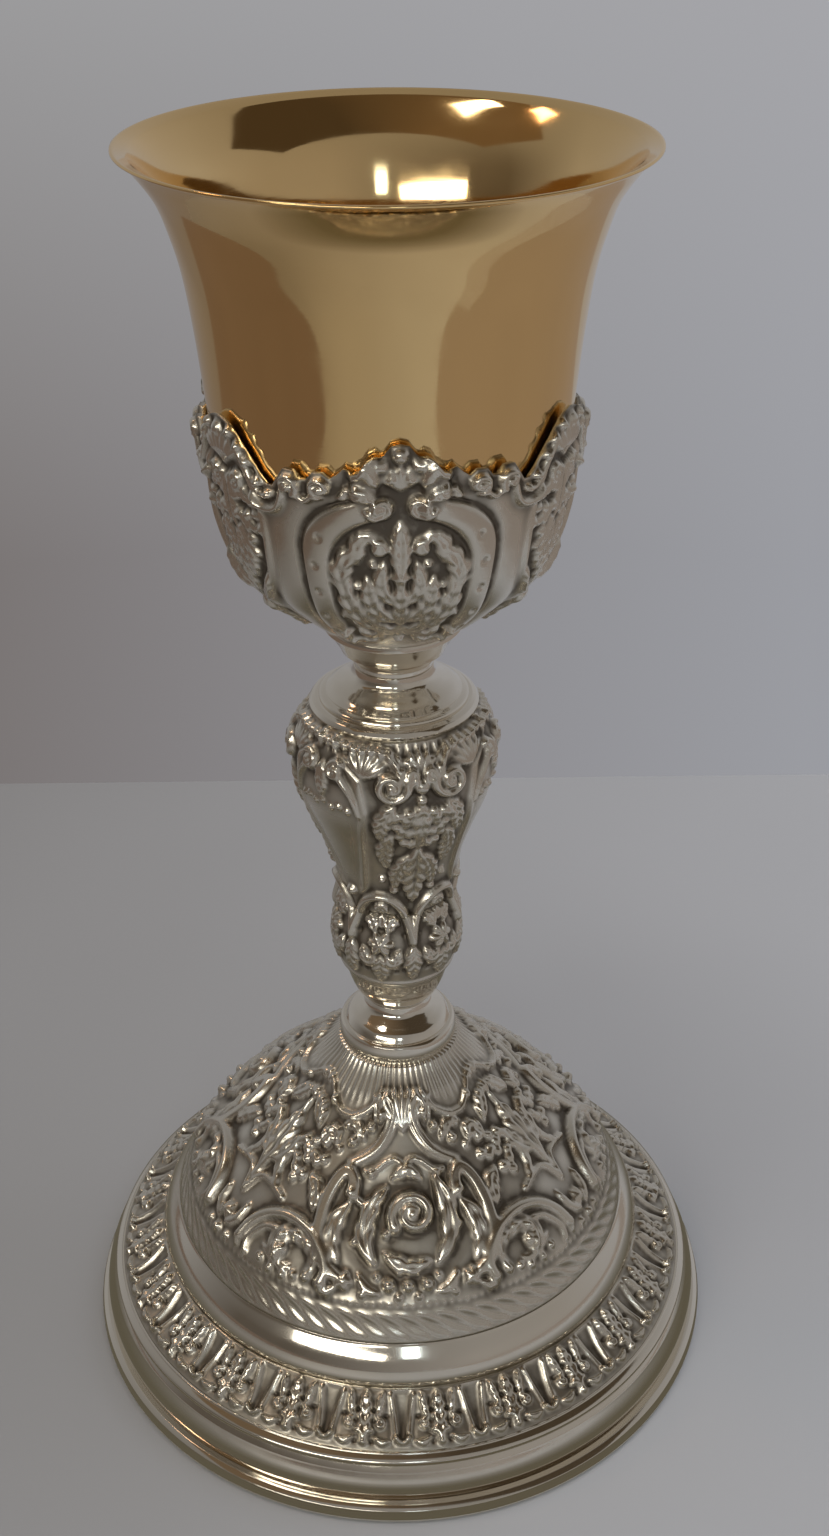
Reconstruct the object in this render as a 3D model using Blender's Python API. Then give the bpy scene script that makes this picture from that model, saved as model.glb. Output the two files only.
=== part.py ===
"""Communion chalice: gilt cup in a chased calyx, on a knopped stem and a domed foot.

Every piece is turned about the Z axis and stacked on one threaded tie rod, which runs from
the boss under the cup to a washer and nut inside the foot.  Metres, +Z up, origin at the
centre of the foot on the table.  Outlines are written as (radius, height) in millimetres.
"""

import math

import bmesh
import bpy

MM = 0.001

# Driving dimensions, in millimetres.
HEIGHT = 267.6
FOOT_RADIUS = 72.0
LIP_RADIUS = 47.2
GAP = 0.3               # clearance between stacked pieces
SHEET = 1.1             # wall of the raised and spun pieces
CASTING = 1.7           # wall of the cast stem pieces
ROD_RADIUS = 3.95       # M8 rod
BORE_RADIUS = 4.3
BOSS_RADIUS = 7.2
FOOT_SEGMENTS = 32
CALYX_SEGMENTS = 48
STEM_SEGMENTS = 24
FASTENER_SEGMENTS = 12
NUT_SEGMENTS = 24

# Heights of the joints between stacked pieces, in millimetres.
FLANGE_TOP = 4.0
OGEE_TOP = 14.9
FRIEZE_TOP = 22.3
BAND_TOP = 31.2
DOME_TOP = 74.9
COLLAR_TOP = 85.6
BOWL_TOP = 94.9
BULB_TOP = 114.0
KNOP_TOP = 158.3
CAP_TOP = 167.4
NECK_TOP = 170.9
CALYX_RING_TOP = 177.0
CUP_BOTTOM = 182.5

# Scalloped upper edge of the calyx: plain height and the two kinds of crest.
CALYX_EDGE = 217.6
CREST_STEP_DEG = 120
SMALL_CREST = {"centre_deg": 0, "half_deg": 14, "rise": 8.0}
LARGE_CREST = {"centre_deg": 60, "half_deg": 19, "rise": 8.4}

# Fasteners, in millimetres.
WASHER_RADIUS = 9.0
WASHER_THICKNESS = 1.5
NUT_ACROSS_FLATS = 13.0
NUT_THICKNESS = 5.0
PLATE_RADIUS = 10.5
PLATE_THICKNESS = 1.5
NUT_TRAVEL = 10.0
SPACER_WALL = 1.6

SILVER = ((0.80, 0.78, 0.74), 0.18)
GOLD = ((0.86, 0.62, 0.30), 0.10)
BRASS = ((0.74, 0.58, 0.30), 0.30)
STEEL = ((0.60, 0.61, 0.63), 0.35)


def clear_scene():
    for obj in list(bpy.data.objects):
        bpy.data.objects.remove(obj, do_unlink=True)


def metal(name, look):
    """Principled metal of one colour and roughness."""
    colour, roughness = look
    material = bpy.data.materials.new(name)
    material.use_nodes = True
    shader = material.node_tree.nodes["Principled BSDF"]
    shader.inputs["Base Color"].default_value = (*colour, 1.0)
    shader.inputs["Metallic"].default_value = 1.0
    shader.inputs["Roughness"].default_value = roughness
    return material


def curve(points, steps=2):
    """Catmull-Rom curve through the points, with `steps` chords between neighbours."""
    ends = [points[0], *points, points[-1]]
    path = []
    for before, start, finish, after in zip(ends, ends[1:], ends[2:], ends[3:]):
        for step in range(steps):
            t = step / steps
            path.append(tuple(
                0.5 * (2 * s + (f - b) * t + (2 * b - 5 * s + 4 * f - a) * t ** 2
                       + (3 * s - b - 3 * f + a) * t ** 3)
                for b, s, f, a in zip(before, start, finish, after)
            ))
    path.append(points[-1])
    return path


def inset(path, wall):
    """The path moved towards the axis by the wall, square to the path."""
    moved = []
    last = len(path) - 1
    for index, (radius, height) in enumerate(path):
        before = path[max(index - 1, 0)]
        after = path[min(index + 1, last)]
        along_r = after[0] - before[0]
        along_z = after[1] - before[1]
        length = math.hypot(along_r, along_z)
        moved.append((radius + wall * along_z / length, height - wall * along_r / length))
    return moved


def cut_at(path, low, high):
    """The part of a path whose height lies between low and high."""
    return [point for point in path if low < point[1] < high]


def add_object(name, mesh_data, material, parent):
    mesh = bpy.data.meshes.new(name)
    mesh_data.to_mesh(mesh)
    mesh_data.free()
    mesh.shade_smooth()
    mesh.set_sharp_from_angle(angle=math.radians(35))
    mesh.materials.append(material)
    obj = bpy.data.objects.new(name, mesh)
    bpy.context.collection.objects.link(obj)
    obj.parent = parent
    return obj


def lathe(name, outline_at, segments, material, parent):
    """A closed outline carried round Z.  outline_at(angle) gives its (radius, height) points;
    an outline that starts and ends on the axis closes there in two poles."""
    solid = bmesh.new()
    rings = []
    for index in range(segments):
        angle = 2 * math.pi * index / segments
        rings.append([
            (radius * math.cos(angle) * MM, radius * math.sin(angle) * MM, height * MM)
            for radius, height in outline_at(angle)
        ])
    on_axis = outline_at(0.0)[0][0] == 0
    count = len(rings[0])
    poles = {index: solid.verts.new(rings[0][index]) for index in (0, count - 1) if on_axis}
    loops = [
        [poles[index] if index in poles else solid.verts.new(point)
         for index, point in enumerate(ring)]
        for ring in rings
    ]
    for index, loop in enumerate(loops):
        following = loops[(index + 1) % segments]
        for corner in range(count - 1 if on_axis else count):
            other = (corner + 1) % count
            corners = [loop[corner], loop[other], following[other], following[corner]]
            solid.faces.new(list(dict.fromkeys(corners)))
    bmesh.ops.recalc_face_normals(solid, faces=solid.faces[:])
    return add_object(name, solid, material, parent)


def turned(name, outline, segments, material, parent):
    return lathe(name, lambda angle: outline, segments, material, parent)


def shell(outer, wall):
    """Outline of a sheet piece: its outer path, top to bottom, and the wall's inner side."""
    low, high = outer[-1][1], outer[0][1]
    inner = cut_at(inset(outer, wall), low, high)
    return [*outer, (outer[-1][0] - wall, low), *reversed(inner), (outer[0][0] - wall, high)]


def cast_vessel(outer, wall, bore):
    """Outline of a cast piece open at the top, with a bored floor."""
    low, high = outer[-1][1], outer[0][1]
    floor = low + wall
    inner = cut_at(inset(outer, wall), floor, high)
    bend = inner[-1][0]
    return [
        *outer, (bore, low), (bore, floor), (bend, floor),
        *reversed(inner), (outer[0][0] - wall, high),
    ]


def bored(outer, bore):
    """Outline of a solid turned piece with a straight bore."""
    return [*outer, (bore, outer[-1][1]), (bore, outer[0][1])]


def tube(outer, inner, low, high):
    return [(outer, high), (outer, low), (inner, low), (inner, high)]


def crest_rise(angle, crest):
    """How far a crest lifts the calyx edge at this angle, as a rounded hump."""
    turn = math.degrees(angle) + 90 - crest["centre_deg"]
    away = abs((turn + CREST_STEP_DEG / 2) % CREST_STEP_DEG - CREST_STEP_DEG / 2)
    return crest["rise"] * max(0.0, 1 - (away / crest["half_deg"]) ** 2)


def make_cup(material, parent):
    outer = curve([
        (LIP_RADIUS, HEIGHT), (44.2, 264.6), (40.6, 259.4), (38.4, 253.5), (36.6, 246.5),
        (35.1, 236), (33.7, 222), (32.5, 211), (31.2, 203.5), (28.9, 195.5), (25.4, 189.8),
        (19.5, 185.4), (12, 183),
    ], steps=1)
    wall = cut_at(inset(outer, SHEET), CUP_BOTTOM + SHEET, HEIGHT - SHEET)
    outline = [
        (0, CUP_BOTTOM + SHEET), *reversed(wall), (LIP_RADIUS - SHEET, HEIGHT),
        *outer, (0, CUP_BOTTOM),
    ]
    turned("cup", outline, FOOT_SEGMENTS, material, parent)


def make_cup_boss(material, parent):
    """Threaded boss brazed under the cup, with a flange and a blind hole for the rod."""
    top = CUP_BOTTOM - GAP
    flange = 2.9
    outline = [
        (0, top), (10, top), (10, top - flange), (BOSS_RADIUS, top - flange),
        (BOSS_RADIUS, NECK_TOP + GAP), (BORE_RADIUS, NECK_TOP + GAP),
        (BORE_RADIUS, top - 2), (0, top - 2),
    ]
    turned("cup_boss", outline, STEM_SEGMENTS, material, parent)


def make_calyx(material, parent):
    """Chased outer shell whose upper edge rises in six crests, three small and three large."""
    low = CALYX_RING_TOP + GAP
    bowl = curve([
        (34.4, 214), (33.7, 208), (32.9, 202.5), (31.2, 196), (28.6, 190.8), (24.8, 186.8),
        (20.6, 183), (16.8, 180), (13.6, low),
    ], steps=1)
    floor_hole = BOSS_RADIUS + 0.5
    flare = 0.11   # outward lean of the wall above the bowl, radius per height

    def outline_at(angle):
        edge = CALYX_EDGE + crest_rise(angle, SMALL_CREST) + crest_rise(angle, LARGE_CREST)
        top = bowl[0][0] + flare * (edge - bowl[0][1])
        inner = cut_at(inset(bowl, 0.9), low + 0.9, edge)
        return [
            (top, edge), *bowl, (floor_hole, low), (floor_hole, low + 0.9),
            *reversed(inner), (top - 0.8, edge),
        ]

    lathe("calyx", outline_at, CALYX_SEGMENTS, material, parent)


def make_calyx_ring(material, parent):
    """Stepped ring that seats the calyx on the stem."""
    outer = [
        (13.4, CALYX_RING_TOP), (13.6, 176), (12.5, 174.9), (11.2, 172.7), (10.7, 171.9),
        (10.4, NECK_TOP + GAP),
    ]
    outline = bored(outer, BOSS_RADIUS + 0.5)
    turned("calyx_ring", outline, STEM_SEGMENTS, material, parent)


def make_neck_spool(material, parent):
    outer = curve([(9.8, NECK_TOP), (8.3, 169.6), (7.9, CAP_TOP + GAP)])
    turned("neck_spool", bored(outer, BORE_RADIUS), STEM_SEGMENTS, material, parent)


def make_knop_cap(material, parent):
    shoulder = curve([(8, CAP_TOP), (8.5, 165.6), (10.2, 164.2), (12.2, 163.1), (13.4, 162.2)])
    steps = [
        (13.9, 161.9), (14.9, 161.5), (15.4, 160.8), (16.6, 160.2), (17.1, 159.4),
        (16.7, KNOP_TOP + GAP),
    ]
    turned("knop_cap", bored([*shoulder, *steps], BORE_RADIUS), STEM_SEGMENTS, material, parent)


def make_pear_knop(material, parent):
    outer = curve([
        (16.9, KNOP_TOP), (19.5, 153), (20.1, 147), (19.1, 140), (16.1, 132.3), (13.3, 124),
        (11.4, BULB_TOP + GAP),
    ])
    outline = cast_vessel(outer, CASTING, BORE_RADIUS)
    turned("pear_knop", outline, STEM_SEGMENTS, material, parent)


def make_stem_bulb(material, parent):
    outer = curve([
        (11.3, BULB_TOP), (12.8, 108.5), (13.5, 103.5), (12.6, 98.4), (11.4, BOWL_TOP + GAP),
    ])
    outline = cast_vessel(outer, CASTING, BORE_RADIUS)
    turned("stem_bulb", outline, STEM_SEGMENTS, material, parent)


def make_stem_bowl(material, parent):
    outer = curve([(11.2, BOWL_TOP), (10.2, 91.4), (8.8, 88.2), (6.9, COLLAR_TOP + GAP)])
    turned("stem_bowl", bored(outer, BORE_RADIUS), STEM_SEGMENTS, material, parent)


def make_foot_collar(material, parent):
    shoulder = curve([(6.8, COLLAR_TOP), (7.3, 83.9), (8.8, 82.6), (10.5, 81.4), (11.5, 79.9)])
    rim = [(12, 79.7), (12.6, 78.9), (12.9, 77.6), (12.9, DOME_TOP + GAP)]
    turned("foot_collar", bored([*shoulder, *rim], BORE_RADIUS), STEM_SEGMENTS, material, parent)


def make_foot_dome(material, parent):
    outer = curve([
        (13.2, DOME_TOP), (23, 63.8), (33, 54.3), (42, 46), (48, 39.2), (49.8, 34.6),
        (51.6, BAND_TOP + GAP),
    ])
    low = outer[-1][1]
    crown = DOME_TOP - SHEET
    inner = cut_at(inset(outer, SHEET), low, crown)
    outline = [
        *outer, (outer[-1][0] - SHEET, low), *reversed(inner),
        (inner[0][0] - 0.3, crown), (BORE_RADIUS, crown), (BORE_RADIUS, DOME_TOP),
    ]
    turned("foot_dome", outline, FOOT_SEGMENTS, material, parent)


def make_band_moulding(material, parent):
    outer = curve([(51.6, BAND_TOP), (54.2, 27.9), (55.7, 24.3), (55.4, FRIEZE_TOP + GAP)])
    turned("band_moulding", shell(outer, SHEET), FOOT_SEGMENTS, material, parent)


def make_leaf_frieze(material, parent):
    outer = curve([(55.9, FRIEZE_TOP), (59.8, 18.6), (65.9, OGEE_TOP + GAP)])
    turned("leaf_frieze", shell(outer, SHEET), FOOT_SEGMENTS, material, parent)


def make_ogee_rim(material, parent):
    bead = curve([(66.3, OGEE_TOP), (67.8, 13.8), (67.7, 12.7)])
    ogee = curve([(68.4, 11.9), (70.1, 7.8), (69.4, FLANGE_TOP + GAP)])
    turned("ogee_rim", shell([*bead, *ogee], SHEET), FOOT_SEGMENTS, material, parent)


def make_base_flange(material, parent):
    """Flat ring the chalice stands on, with a rounded outer edge."""
    outline = [
        (68.2, FLANGE_TOP), (70.7, FLANGE_TOP), (71.7, 3.4), (FOOT_RADIUS, 2.3),
        (FOOT_RADIUS, 0.6), (71.5, 0), (64.5, 0), (64.5, 1.4), (68.2, 1.4),
    ]
    turned("base_flange", outline, FOOT_SEGMENTS, material, parent)


def make_spacers(material, parent):
    """Sleeves on the rod that carry the clamping load past the hollow knop and bulb."""
    outer = BORE_RADIUS + SPACER_WALL
    spans = {
        "knop_spacer": (BULB_TOP + GAP + CASTING + GAP, KNOP_TOP),
        "bulb_spacer": (BOWL_TOP + GAP + CASTING + GAP, BULB_TOP),
    }
    for name, (low, high) in spans.items():
        turned(name, tube(outer, BORE_RADIUS, low, high), FASTENER_SEGMENTS, material, parent)


def make_tie_rod(material, parent):
    plate_bottom = DOME_TOP - SHEET - GAP - PLATE_THICKNESS
    nut_bottom = plate_bottom - GAP - WASHER_THICKNESS - GAP - NUT_THICKNESS
    low = nut_bottom - NUT_TRAVEL - 1
    high = CUP_BOTTOM - GAP - 2 - GAP
    chamfer = 0.8
    outline = [
        (0, high), (ROD_RADIUS - chamfer, high), (ROD_RADIUS, high - chamfer),
        (ROD_RADIUS, low + chamfer), (ROD_RADIUS - chamfer, low), (0, low),
    ]
    turned("tie_rod", outline, FASTENER_SEGMENTS, material, parent)


def make_foot_plate(material, parent):
    """Reinforcing disc under the crown of the dome, where the washer bears."""
    high = DOME_TOP - SHEET - GAP
    outline = tube(PLATE_RADIUS, BORE_RADIUS, high - PLATE_THICKNESS, high)
    turned("foot_plate", outline, NUT_SEGMENTS, material, parent)


def make_washer(material, parent):
    high = DOME_TOP - SHEET - GAP - PLATE_THICKNESS - GAP
    outline = tube(WASHER_RADIUS, BORE_RADIUS, high - WASHER_THICKNESS, high)
    turned("washer", outline, NUT_SEGMENTS, material, parent)


def make_retaining_nut(material, parent):
    """Hexagon nut: its outer radius follows the flats as the outline goes round."""
    washer_top = DOME_TOP - SHEET - GAP - PLATE_THICKNESS - GAP
    high = washer_top - WASHER_THICKNESS - GAP
    flat = math.pi / 3

    def outline_at(angle):
        from_flat = (angle + flat / 2) % flat - flat / 2
        radius = NUT_ACROSS_FLATS / 2 / math.cos(from_flat)
        return tube(radius, BORE_RADIUS, high - NUT_THICKNESS, high)

    lathe("retaining_nut", outline_at, NUT_SEGMENTS, material, parent)


def main():
    clear_scene()
    silver = metal("silver", SILVER)
    gold = metal("gold", GOLD)
    brass = metal("brass", BRASS)
    steel = metal("steel", STEEL)
    chalice = bpy.data.objects.new("chalice", None)
    bpy.context.collection.objects.link(chalice)
    make_cup(gold, chalice)
    for make in (
        make_calyx, make_calyx_ring, make_neck_spool, make_knop_cap, make_pear_knop,
        make_stem_bulb, make_stem_bowl, make_foot_collar, make_foot_dome,
        make_band_moulding, make_leaf_frieze, make_ogee_rim, make_base_flange,
    ):
        make(silver, chalice)
    for make in (make_cup_boss, make_spacers, make_foot_plate, make_retaining_nut):
        make(brass, chalice)
    for make in (make_tie_rod, make_washer):
        make(steel, chalice)


main()
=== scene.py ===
"""Looks of a communion chalice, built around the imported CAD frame.

Each visible part is a dense closed shell on the outline that the CAD part has.  The chased parts carry
their ornament as real height over that outline, made of scrolls, leaves, shells, grapes and beads.
Outlines are (radius, height) in millimetres.  Azimuth 0 is the front (-Y) and grows towards +X.
"""

import math
from itertools import product

import bpy
import numpy as np
from mathutils import Matrix, Vector


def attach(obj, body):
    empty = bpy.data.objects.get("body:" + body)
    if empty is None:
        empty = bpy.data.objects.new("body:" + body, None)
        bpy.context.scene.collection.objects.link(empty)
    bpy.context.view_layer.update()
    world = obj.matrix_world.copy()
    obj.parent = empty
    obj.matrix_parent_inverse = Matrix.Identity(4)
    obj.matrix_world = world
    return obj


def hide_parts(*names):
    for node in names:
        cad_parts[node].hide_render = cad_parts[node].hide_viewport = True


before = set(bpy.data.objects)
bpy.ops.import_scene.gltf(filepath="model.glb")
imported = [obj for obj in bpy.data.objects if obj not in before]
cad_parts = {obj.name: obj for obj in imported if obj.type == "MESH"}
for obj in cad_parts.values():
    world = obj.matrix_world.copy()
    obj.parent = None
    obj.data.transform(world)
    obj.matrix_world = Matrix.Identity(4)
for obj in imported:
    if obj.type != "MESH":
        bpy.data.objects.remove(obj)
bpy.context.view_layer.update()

MM = 0.001
SHEET = 1.1
CASTING = 1.7
ROD_RADIUS = 3.95
THREAD_PITCH = 1.25
ROD_BORE = 4.3
BOSS_BORE = 7.7
END_REACH = 0.13
LATHE_COLUMNS = 288

# Outer outlines, top to bottom.
CUP_WALL = [
    (47.2, 267.6), (44.2, 264.6), (40.6, 259.4), (38.4, 253.5), (36.6, 246.5), (35.1, 236),
    (33.7, 222), (32.5, 211), (31.2, 203.5), (28.9, 195.5), (25.4, 189.8), (19.5, 185.4), (12, 183),
]
CUP_BOTTOM = 182.5
CALYX_BOWL = [
    (34.4, 214), (33.7, 208), (32.9, 202.5), (31.2, 196), (28.6, 190.8), (24.8, 186.8),
    (20.6, 183), (16.8, 180), (13.6, 177.3),
]
CALYX_FLARE = 0.11
CALYX_WALL = 0.9
CALYX_RING = [(13.4, 177), (13.6, 176), (12.5, 174.9), (11.2, 172.7), (10.7, 171.9), (10.4, 171.2)]
NECK_SPOOL = [(9.8, 170.9), (8.3, 169.6), (7.9, 167.7)]
CAP_SHOULDER = [(8, 167.4), (8.5, 165.6), (10.2, 164.2), (12.2, 163.1), (13.4, 162.2)]
CAP_STEPS = [
    (13.7, 162.0), (13.6, 161.8), (14.4, 161.7), (14.9, 161.4), (15.1, 161.0), (14.9, 160.7),
    (15.7, 160.7), (16.5, 160.3), (17.1, 159.5), (16.7, 158.6),
]
PEAR_KNOP = [
    (16.9, 158.3), (19.5, 153), (20.1, 147), (19.1, 140), (16.1, 132.3), (13.3, 124), (11.4, 114.3),
]
STEM_BULB = [(11.3, 114), (12.8, 108.5), (13.5, 103.5), (12.6, 98.4), (11.4, 95.2)]
STEM_BOWL = [(11.2, 94.9), (10.2, 91.4), (8.8, 88.2), (6.9, 85.9)]
COLLAR_SHOULDER = [(6.8, 85.6), (7.3, 83.9), (8.8, 82.6), (10.5, 81.4), (11.5, 79.9)]
COLLAR_RIM = [(11.5, 79.7), (12.1, 79.7), (12.6, 79.2), (12.9, 78.0), (12.9, 76.2), (12.6, 75.2)]
FOOT_DOME = [
    (13.2, 74.9), (23, 63.8), (33, 54.3), (42, 46), (48, 39.2), (49.8, 34.6), (51.6, 31.5),
]
BAND = [(51.6, 31.2), (54.2, 27.9), (55.7, 24.3), (55.4, 22.6)]
LEAF_FRIEZE = [(55.9, 22.3), (59.8, 18.6), (65.9, 15.2)]
OGEE_BEAD = [(66.3, 14.9), (67.8, 13.8), (67.7, 12.7)]
OGEE = [(68.4, 11.9), (70.1, 7.8), (69.4, 4.3)]
FLANGE = [
    (68.2, 4.1), (70.7, 4.1), (71.7, 3.4), (72, 2.3), (72, 0.6), (71.5, 0), (64.5, 0), (64.5, 1.4),
    (68.2, 1.4),
]
# Scalloped upper edge of the calyx over half a sector: (azimuth, height).
CALYX_EDGE = [
    (0, 225.9), (2.5, 225.5), (4.5, 223.9), (5.5, 223.5), (7.5, 223.7), (9.5, 223.0), (11.5, 221.2),
    (13.5, 220.6), (16, 221.2), (18, 220.0), (20, 219.2), (22, 220.2), (25, 220.1), (27, 218.6),
    (29, 218.6), (31, 220.0), (34, 220.0), (36, 218.3), (38.5, 216.2), (41, 216.0), (44, 217.6),
    (46.5, 219.6), (49, 221.3), (51.5, 223.0), (54, 224.6), (57, 225.4), (60, 225.8),
]


# ---------------------------------------------------------------- outlines

def curve(points, steps=8):
    """Catmull-Rom curve through the points, with `steps` chords between neighbours."""
    p = np.array([points[0], *points, points[-1]], float)
    t = np.linspace(0, 1, steps, endpoint=False)[:, None]
    spans = [
        0.5 * (2 * b + (c - a) * t + (2 * a - 5 * b + 4 * c - d) * t ** 2
               + (3 * b - a - 3 * c + d) * t ** 3)
        for a, b, c, d in zip(p, p[1:], p[2:], p[3:])
    ]
    return np.vstack([*spans, p[-1:]])


def lengths(path):
    """Distance along the path at each of its points."""
    return np.concatenate([[0], np.cumsum(np.hypot(*np.diff(path, axis=0).T))])


def even(path, count):
    """The path again, as `count` evenly spaced points."""
    path = np.array(path, float)
    along = lengths(path)
    at = np.linspace(0, along[-1], count)
    return np.stack([np.interp(at, along, path[:, 0]), np.interp(at, along, path[:, 1])], 1)


def inset(path, wall):
    """The path moved inwards by the wall, square to the path."""
    step = np.gradient(np.array(path, float), axis=0)
    step /= np.linalg.norm(step, axis=1)[:, None]
    return path + wall * np.stack([step[:, 1], -step[:, 0]], 1)


def between(path, low, high):
    """The path's points between two heights."""
    return path[(path[:, 1] > low) & (path[:, 1] < high)]


def rounded(outline, radius=0.10):
    """A closed outline with each sharp corner cut back by the radius and turned through an arc."""
    least_turn, arc_points = 24, 4
    points = np.array(outline, float)
    made = []
    for before, corner, after in zip(np.roll(points, 1, 0), points, np.roll(points, -1, 0)):
        back, on = before - corner, after - corner
        room = min(np.linalg.norm(back), np.linalg.norm(on))
        if room < 1e-6:
            continue
        back, on = back / np.linalg.norm(back), on / np.linalg.norm(on)
        turn = 180 - math.degrees(math.acos(float(np.clip(back @ on, -1, 1))))
        if turn < least_turn:
            made.append(corner)
            continue
        cut = min(radius, 0.45 * room)
        for t in np.linspace(0, 1, arc_points):
            made.append(corner + cut * ((1 - t) ** 2 * back + t ** 2 * on))
    return np.array(made)


def reaching(path):
    """The path with both ends drawn out up and down, to narrow the gap to the next piece."""
    path = np.array(path, float)
    path[0, 1] += END_REACH
    path[-1, 1] -= END_REACH
    return path


def shell_outline(outer, wall):
    """Closed outline of a sheet piece: outer path, top to bottom, then the wall's inner side."""
    outer = reaching(outer)
    low, high = outer[-1][1], outer[0][1]
    inner = between(inset(outer, wall), low, high)
    return np.vstack([
        outer, [(outer[-1][0] - wall, low)], inner[::-1], [(outer[0][0] - wall, high)],
    ])


def bored_outline(outer, bore):
    """Closed outline of a solid piece: outer path, top to bottom, then the bore."""
    outer = reaching(outer)
    return np.vstack([outer, [(bore, outer[-1][1])], [(bore, outer[0][1])]])


def inside(points, wall, low, high):
    """The inner side of a wall on the curve through the points, from low up to high."""
    return between(inset(curve(points, 3), wall), low, high)[::-1]


# ---------------------------------------------------------------- meshes

def add_mesh(name, points, faces, values, body, material, node):
    """A smooth mesh that rides on a body and stands for a CAD node.

    faces lists blocks of faces with the same number of corners, values names numbers for each point.
    """
    mesh = bpy.data.meshes.new(name)
    mesh.vertices.add(len(points))
    mesh.vertices.foreach_set("co", np.asarray(points, np.float32).ravel() * MM)
    flat = np.concatenate([block.ravel() for block in faces])
    sizes = np.concatenate([np.full(*block.shape) for block in faces])
    mesh.loops.add(len(flat))
    mesh.loops.foreach_set("vertex_index", flat.astype(np.int32))
    mesh.polygons.add(len(sizes))
    starts = np.concatenate([[0], np.cumsum(sizes)[:-1]])
    mesh.polygons.foreach_set("loop_start", starts.astype(np.int32))
    mesh.update(calc_edges=True)
    mesh.validate()
    mesh.shade_smooth()
    for key, value in values.items():
        layer = mesh.attributes.new(key, "FLOAT", "POINT")
        layer.data.foreach_set("value", np.asarray(value, np.float32).ravel())
    mesh.materials.append(material)
    piece = bpy.data.objects.new(name, mesh)
    bpy.context.scene.collection.objects.link(piece)
    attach(piece, body)
    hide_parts(node)


def grid_faces(rings, columns, closed=True):
    """Quads of a grid that closes round the columns and, if asked, from the last ring to the first."""
    index = np.arange(rings * columns).reshape(rings, columns)
    below = np.roll(index, -1, 0)
    quads = np.stack([index, below, np.roll(below, -1, 1), np.roll(index, -1, 1)], -1)
    return (quads if closed else quads[:-1]).reshape(-1, 4)


def spun(radius, height, azimuth):
    """Points (x, y, z) of rings of radius and height at the azimuths, in radians."""
    return np.stack(np.broadcast_arrays(
        radius * np.sin(azimuth), -radius * np.cos(azimuth), height), -1)


def azimuths(columns):
    return np.arange(columns) / columns * 2 * math.pi - math.pi


def turned(name, outline, body, material, node):
    """A closed outline turned about Z."""
    points = spun(outline[:, :1], outline[:, 1:], azimuths(LATHE_COLUMNS))
    faces = grid_faces(len(outline), LATHE_COLUMNS)
    add_mesh(name, points.reshape(-1, 3), [faces], {}, body, material, node)


def turned_to_axis(name, outline, body, material, node, columns=LATHE_COLUMNS):
    """An outline that starts and ends on the axis turned about Z, with a point at each end."""
    outline = np.array(outline)
    ends = [(0, 0, outline[0][1]), (0, 0, outline[-1][1])]
    rings = outline[1:-1]
    points = spun(rings[:, :1], rings[:, 1:], azimuths(columns)).reshape(-1, 3)
    count = len(points)
    first = np.arange(columns)
    last = first + count - columns
    top = np.stack([np.full(columns, count), first, np.roll(first, -1)], 1)
    bottom = np.stack([np.roll(last, -1), last, np.full(columns, count + 1)], 1)
    faces = [grid_faces(len(rings), columns, closed=False), top, bottom]
    add_mesh(name, np.vstack([points, ends]), faces, {}, body, material, node)


# ---------------------------------------------------------------- relief

def smooth_rows(values, sigma, axis):
    """Gaussian blur along one axis, wrapping round the columns."""
    reach = max(1, int(3 * sigma))
    kernel = np.exp(-0.5 * (np.arange(-reach, reach + 1) / sigma) ** 2)
    kernel /= kernel.sum()
    mode = "wrap" if axis == 1 else "edge"
    widths = [(0, 0), (reach, reach)] if axis == 1 else [(reach, reach), (0, 0)]
    padded = np.pad(values, widths, mode=mode)
    size = values.shape[axis]
    parts = [
        weight * np.take(padded, range(k, k + size), axis=axis) for k, weight in enumerate(kernel)
    ]
    return np.sum(parts, axis=0)


def blur(values, sigma):
    return smooth_rows(smooth_rows(values, sigma, 0), sigma, 1)


def ramp(value, over):
    """0 up to value 0, then rising to 1 where the value is `over`."""
    return np.clip(value / over, 0, 1)


def bulge(offset):
    """Half-round profile: 1 in the middle and 0 from offset 1 on."""
    return np.sqrt(np.clip(1 - offset ** 2, 0, 1))


MIRRORED = (1, -1)
ONE_SIDE = (1,)
RELIEF_BLUR = 0.85
HOLLOW_DEPTH = 0.42
STROKE_SPACING = 0.3
LEAF_TIP = 0.15


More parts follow.
